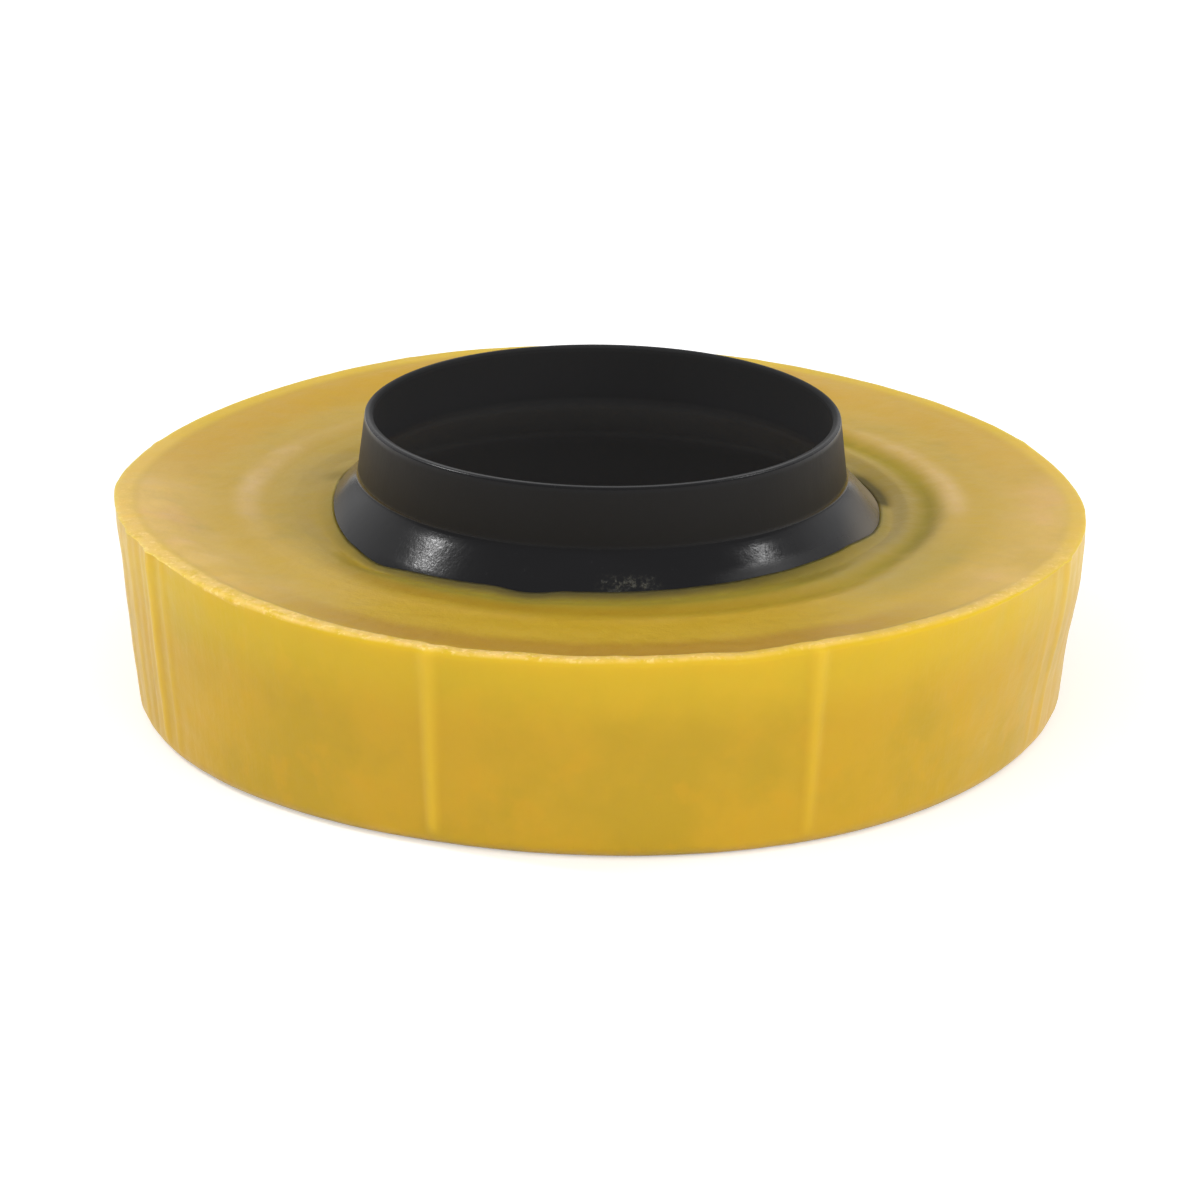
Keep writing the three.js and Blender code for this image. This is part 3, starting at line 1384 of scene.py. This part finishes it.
    # How strong the crest's painted highlight is, by bearing.
    crest_dents: tuple[Dent, ...] = (
        Dent(18.0, 36.0, 0.90),
        Dent(168.0, 36.0, 0.90),
    )
    # How strong the lip's painted highlight is, by bearing.
    lip_highlight_dents: tuple[Dent, ...] = (
        Dent(-140.0, 60.0, 0.75),
        Dent(-92.0, 42.0, 0.75),
        Dent(-63.0, 5.0, 0.30),
        Dent(-36.0, 34.0, 0.60),
    )

    def build(self, horn: "Horn", finish: WaxFinish) -> bpy.types.Object:
        """Makes the ring round the horn.

        Args:
            horn: The horn that the wax is cast round.
            finish: What it is made of.

        Returns:
            The ring's object.
        """
        outline = Outline(self._corners(horn)).cut_finer(self._longest_edge)
        ring = outline.turn(self.steps)
        layers = {mark: ring.verts.layers.float.new(mark.value) for mark in Mark}
        cuts: dict[int, Cut] = {}
        sector = math.tau / self.steps
        for point in ring.verts:
            bearing = math.atan2(point.co.y, point.co.x) - VIEW_TURN
            number = round((bearing + VIEW_TURN) / sector) % self.steps
            if number not in cuts:
                cuts[number] = self._cut(bearing)
            for mark, value in self._marks(point.co, cuts[number]).items():
                point[layers[mark]] = value
            point.co = self._slumped(point.co, cuts[number])
        bmesh.ops.recalc_face_normals(ring, faces=ring.faces[:])
        piece = put_in_scene("wax_casting", ring, finish.make())
        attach(piece, ROOT)
        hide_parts("wax_ring")
        return piece

    @property
    def face_height(self) -> float:
        """The height of the flat face inside the lip."""
        return self.height - self.lip_rise

    def _wall_radius_at(self, height: float) -> float:
        """Gives the wall's radius at a height."""
        return self.base_radius + (self.top_radius - self.base_radius) * height / self.height

    def _corners(self, horn: "Horn") -> list[Corner]:
        """Lists the ring's corners.

        Args:
            horn: The horn that the wax is cast round.

        Returns:
            The corners, from the bore's mouth outwards, up the wall and over the top.
        """
        face = self.face_height
        lip_inside = self.top_radius - self.lip_width
        wall_top = self.wall_height[1]
        return [
            Corner(self.bore_mouth, 0.0, self.bore_round),
            Corner(self.base_radius, 0.0, self.base_round),
            Corner(self._wall_radius_at(wall_top), wall_top),
            Corner(self.top_radius, self.height, self.lip_round),
            Corner(lip_inside, self.height, self.soft_round),
            Corner(lip_inside - self.lip_slope, face, self.soft_round),
            Corner(self.crest_radius, face + self.crest_rise, self.face_round),
            Corner(self.trough_radius, face - self.trough_depth, self.face_round),
            Corner(self.shelf_radius, face - self.shelf_depth, self.shelf_round),
            Corner(self.creep_radius, face - self.creep_depth, self.creep_round),
            Corner(horn.skirt_radius_at(face) - self.horn_overlap, face),
            *self._pocket(horn),
            Corner(self.bore_seat, horn.flange_foot - self.horn_gap),
        ]

    def _pocket(self, horn: "Horn") -> list[Corner]:
        """Lists the hidden corners where the wax lies against the horn's bell and flange.

        Args:
            horn: The horn that the wax is cast round.

        Returns:
            The corners, from the shoulder down.
        """
        gap = self.horn_gap
        return [
            Corner(horn.bell_top_radius + gap, horn.shoulder_height + gap, horn.shoulder_round),
            Corner(horn.bell_foot_radius + gap, horn.flange_top + gap),
            Corner(horn.flange_radius + gap, horn.flange_top + gap),
            Corner(horn.flange_radius + gap, horn.flange_foot - gap),
        ]

    def _longest_edge(self, point: Vector) -> float:
        """Says how coarse the outline may stay: fine where it shows, coarse where it is plain or buried.

        Args:
            point: The middle of an edge.

        Returns:
            The longest edge that may stay there.
        """
        buried = self.buried_height[0] < point.z < self.buried_height[1]
        if buried and point.x < self.buried_radius:
            return self.plain_edge
        if point.z < self.foot_height and point.x < self.wall_radius:
            return self.plain_edge
        if point.x > self.wall_radius and self.wall_height[0] < point.z < self.wall_height[1]:
            return self.wall_edge
        return self.fine_edge

    def _cut(self, bearing: float) -> Cut:
        """Works out the ring's unevenness on one bearing.

        Args:
            bearing: The bearing.

        Returns:
            What it adds there.
        """
        spot = Vector((math.cos(bearing), math.sin(bearing), self.noise_height))
        rough = self.calm + (1.0 - self.calm) * smoothstep(*self.calm_side, math.sin(bearing))
        right = 0.5 + 0.5 * math.cos(bearing - math.radians(self.trough_bearing))
        offs = {
            rib: turn_between(bearing, math.radians(rib.bearing)) * self.base_radius
            for rib in self.ribs
        }
        return Cut(
            rim=total(self.rim_waves, bearing),
            base=total(self.base_waves, bearing),
            lip=self.crumble.at(spot) * rough + total((*self.lip_waves, *self.lip_dents), bearing),
            creep=self.creep_lumps.at(spot) + total(self.creep_dents, bearing),
            bulge=total(self.bulges, bearing),
            trough=-self.trough_drop * right * right,
            shift=total(self.trough_shifts, bearing),
            filled=self.filled * smoothstep(*self.filled_side, math.sin(bearing)),
            worn=clamped(total(self.lip_highlight_dents, bearing)),
            crest=self.least_crest + total(self.crest_dents, bearing),
            contact=self.least_contact + total(self.contact_dents, bearing),
            crack=min(total(self.crack_dents, bearing), 1.0),
            rough=rough,
            spill=total(self.spills, bearing),
            ribs=tuple((rib, off) for rib, off in offs.items() if abs(off) < 2 * rib.half_width),
        )

    def _marks(self, point: Vector, cut: Cut) -> dict[Mark, float]:
        """Says how much of each mark a point has, for the finish.

        Args:
            point: The point on the true ring.
            cut: The unevenness on its bearing.

        Returns:
            The marks, each 0 to 1.
        """
        zones = self.zones
        radius = math.hypot(point.x, point.y)
        share = point.z / self.height
        on_wall = smoothstep(*zones.wall, radius) if share > zones.wall_from_share else 0.0
        on_face = 1.0 if point.z > zones.face_from else 0.0
        in_trough = hump(radius - self.trough_radius - cut.shift, zones.trough_mark)
        far, near = (
            reach + widening * cut.crack
            for reach, widening in zip(zones.contact, zones.contact_widening)
        )
        lip_top = self.height - cut.spill * smoothstep(*zones.spilled, radius)
        on_lip = smoothstep(*(lip_top - below for below in zones.below_lip_top), point.z)
        # The lip and crest marks place painted highlights; the contact mark places the dark at the horn,
        # partly painted shade.
        return {
            Mark.RIB: clamped(cut.ribs_rise(share) / zones.full_rib) * on_wall,
            Mark.LIP: on_lip * smoothstep(*zones.lip, radius) * cut.worn,
            Mark.GROOVE: in_trough * smoothstep(*zones.full_trough, cut.trough) * on_face,
            Mark.CREST: hump(radius - zones.crest_radius, zones.crest_mark) * on_face * cut.crest,
            Mark.CONTACT: smoothstep(far, near, radius) * on_face * min(cut.contact + cut.crack, 1.0),
        }

    def _slumped(self, point: Vector, cut: Cut) -> Vector:
        """Moves a point of the true turned ring to where the soft wax has it.

        Args:
            point: The point on the true ring.
            cut: The unevenness on its bearing.

        Returns:
            The point on the uneven ring.
        """
        zones = self.zones
        radius = math.hypot(point.x, point.y)
        height = point.z
        share = height / self.height
        outer = smoothstep(*zones.outer, radius)
        open_face = smoothstep(*zones.open_face, height)
        ripple = self.ripple.at(point) * outer * cut.rough
        grow = outer * (share * cut.rim + (1.0 - share) * cut.base) + ripple
        if share > zones.ribbed_from_share and radius > zones.ribbed_from_radius:
            bulge = cut.bulge * hump(share - zones.bulge_share, zones.bulge_reach)
            grow += smoothstep(*zones.ribbed, radius) * (cut.ribs_rise(share) + bulge)
        rise = cut.lip * smoothstep(*zones.lifted_share, share) * smoothstep(*zones.lifted, radius)
        if open_face > 0.0:
            in_trough = hump(radius - self.trough_radius - cut.shift, zones.trough_reach)
            hollow = max(self.height - height, 0.0) * smoothstep(*zones.hollow, radius)
            dip = smoothstep(*zones.near_horn, radius) * cut.creep + in_trough * cut.trough
            rise += open_face * (dip + ripple * zones.face_ripple + hollow * cut.filled)
            grow -= open_face * smoothstep(*zones.drawn_in, radius) * cut.creep
        scale = (radius + grow) / radius
        return Vector((point.x * scale, point.y * scale, max(height + rise, 0.0)))


@dataclass
class Horn:
    """The black plastic horn: sleeve, skirt, bell and the flange that the wax holds."""

    wall: float = 1.2 * MM
    rim_height: float = 40.5 * MM
    rim_radius: float = 32.65 * MM
    root_height: float = 31.9 * MM
    root_radius: float = 33.65 * MM
    shoulder_height: float = 26.0 * MM
    bell_top_radius: float = 39.0 * MM
    bell_foot_radius: float = 39.6 * MM
    flange_top: float = 15.3 * MM
    flange_radius: float = 46.5 * MM
    root_round: float = 0.9 * MM
    shoulder_round: float = 3.0 * MM
    foot_round: float = 1.2 * MM
    edge_round: float = 0.42 * MM

    # How fine the mesh is, and how it warps.
    steps: int = 512
    root_reach: float = 1.8 * MM
    root_edge: float = 0.3 * MM
    plain_edge: float = 1.2 * MM
    warp: Lumps = Lumps(28.0, 0.7, 2, 0.16 * MM)
    warp_flattening: float = 0.4
    warped_height: Span = (24.0 * MM, 34.0 * MM)

    @property
    def flange_foot(self) -> float:
        """The height of the flange's lower face."""
        return self.flange_top - self.wall

    def skirt_radius_at(self, height: float) -> float:
        """Gives the skirt's outer radius at a height."""
        share = (self.root_height - height) / (self.root_height - self.shoulder_height)
        return self.root_radius + share * (self.bell_top_radius - self.root_radius)

    def build(self, finish: HornFinish) -> bpy.types.Object:
        """Makes the horn.

        Args:
            finish: What it is made of.

        Returns:
            The horn's object.
        """
        outline = Outline(self._corners()).cut_finer(self._longest_edge)
        body = outline.turn(self.steps)
        for point in body.verts:
            point.co = self._warped(point.co)
        piece = put_in_scene("horn_moulding", body, finish.make())
        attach(piece, ROOT)
        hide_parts("horn")
        return piece

    def _corners(self) -> list[Corner]:
        """Lists the horn's corners.

        Returns:
            The corners: down its inside, round the flange and up its outside.
        """
        wall = self.wall
        run = self.bell_top_radius - self.root_radius
        fall = self.root_height - self.shoulder_height
        drop = wall * (math.hypot(run, fall) - run) / fall
        return [
            Corner(self.rim_radius - wall, self.rim_height, self.edge_round),
            Corner(self.root_radius - wall, self.root_height - drop, self.root_round + wall),
            Corner(
                self.bell_top_radius - wall, self.shoulder_height - drop, self.shoulder_round - wall
            ),
            Corner(self.bell_foot_radius - wall, self.flange_foot, self.foot_round + wall),
            Corner(self.flange_radius, self.flange_foot, self.edge_round),
            Corner(self.flange_radius, self.flange_top, self.edge_round),
            Corner(self.bell_foot_radius, self.flange_top, self.foot_round),
            Corner(self.bell_top_radius, self.shoulder_height, self.shoulder_round),
            Corner(self.root_radius, self.root_height, self.root_round),
            Corner(self.rim_radius, self.rim_height, self.edge_round),
        ]

    def _longest_edge(self, point: Vector) -> float:
        """Says how coarse the outline may stay: fine at the root, so that its round shades as a round."""
        return self.root_edge if abs(point.z - self.root_height) < self.root_reach else self.plain_edge

    def _warped(self, point: Vector) -> Vector:
        """Moves a point of the true turned horn to where the thin moulding has it.

        Args:
            point: The point on the true horn.

        Returns:
            The point on the uneven horn.
        """
        spot = Vector((point.x, point.y, point.z * self.warp_flattening))
        sway = self.warp.at(spot) * smoothstep(*self.warped_height, point.z)
        radius = math.hypot(point.x, point.y)
        scale = (radius + sway) / radius
        return Vector((point.x * scale, point.y * scale, point.z))


def turned_to_view(vector: Vector) -> Vector:
    """Turns a vector from the viewer's bearings to the seal's frame."""
    return Matrix.Rotation(VIEW_TURN, 3, "Z") @ vector


@dataclass(frozen=True)
class Softbox:
    """A square lamp that faces the seal: where it hangs, seen from the seal, its side and its watts."""

    name: str
    direction: tuple[float, float, float]
    side: float
    power: float
    mirrored: bool = True

    def hang(self, distance: float, height: float) -> None:
        """Hangs the lamp.

        Args:
            distance: How far it is from the point that it faces.
            height: How high that point is.
        """
        data = bpy.data.lights.new(self.name, "AREA")
        data.shape = "SQUARE"
        data.size = self.side
        data.energy = self.power
        direction = turned_to_view(Vector(self.direction))
        lamp = bpy.data.objects.new(self.name, data)
        lamp.location = direction.normalized() * distance + UP * height
        lamp.rotation_euler = direction.to_track_quat("Z", "Y").to_euler()
        lamp.visible_glossy = self.mirrored
        bpy.context.scene.collection.objects.link(lamp)


@dataclass
class Studio:
    """The plain floor, the soft lights and the viewer's camera."""

    floor_size: float = 6.0
    camera_distance: float = 800.0 * MM
    camera_elevation: float = math.radians(18.40)
    camera_roll: float = math.radians(0.85)
    lens: float = 174.3
    sensor_width: float = 36.0
    nearest: float = 0.01
    farthest: float = 20.0
    aim: Vector = field(default_factory=lambda: Vector((-0.3, 0.0, 28.5)) * MM)
    aim_above_centre: float = 103.7 / 1200
    lamp_distance: float = 0.9
    lamps: tuple[Softbox, ...] = (
        Softbox("left_softbox", (-0.697, 0.112, 0.708), 0.105, 2.7),
        Softbox("right_softbox", (0.676, 0.068, 0.734), 0.120, 1.1),
        Softbox("left_fill", (-0.93, -0.36, 0.35), 0.5, 0.4, mirrored=False),
        Softbox("right_fill", (0.93, -0.36, 0.35), 0.5, 2.4, mirrored=False),
    )

    def build(self) -> None:
        """Sets the stage, lights it and places the camera."""
        self._lay_floor(FloorFinish())
        bpy.context.scene.world = RoomLight().make()
        for lamp in self.lamps:
            lamp.hang(self.lamp_distance, self.aim.z)
        self._place_camera()
        bpy.context.scene.view_settings.view_transform = "Standard"

    def _lay_floor(self, finish: FloorFinish) -> None:
        """Lays the floor under the seal.

        Args:
            finish: What it is made of.
        """
        sheet = bmesh.new()
        bmesh.ops.create_grid(sheet, x_segments=1, y_segments=1, size=self.floor_size / 2)
        floor = put_in_scene("floor", sheet, finish.make())

    def _place_camera(self) -> None:
        """Places the camera so that the lip's centre falls where the photograph has it."""
        aim = turned_to_view(self.aim)
        level = Vector((0.0, -math.cos(self.camera_elevation), math.sin(self.camera_elevation)))
        spot = turned_to_view(level) * self.camera_distance + aim
        data = bpy.data.cameras.new("viewer")
        data.lens = self.lens
        data.sensor_width = self.sensor_width
        data.clip_start = self.nearest
        data.clip_end = self.farthest
        camera = bpy.data.objects.new("viewer", data)
        facing = (spot - aim).to_track_quat("Z", "Y").to_matrix()
        dip = math.atan(self.aim_above_centre * self.sensor_width / self.lens)
        turned = facing @ Matrix.Rotation(self.camera_roll, 3, "Z") @ Matrix.Rotation(-dip, 3, "X")
        camera.matrix_world = Matrix.Translation(spot) @ turned.to_4x4()
        bpy.context.scene.collection.objects.link(camera)
        bpy.context.scene.camera = camera


def main() -> None:
    """Builds every piece and the studio, and reports each one."""
    logging.basicConfig(level=logging.INFO, format="%(name)s: %(message)s")
    Studio().build()
    horn = Horn()
    pieces = [horn.build(HornFinish()), WaxRing().build(horn, WaxFinish())]
    for piece in pieces:
        log.info("%s: %d faces", piece.name, len(piece.data.polygons))


if __name__ == "__main__":
    main()
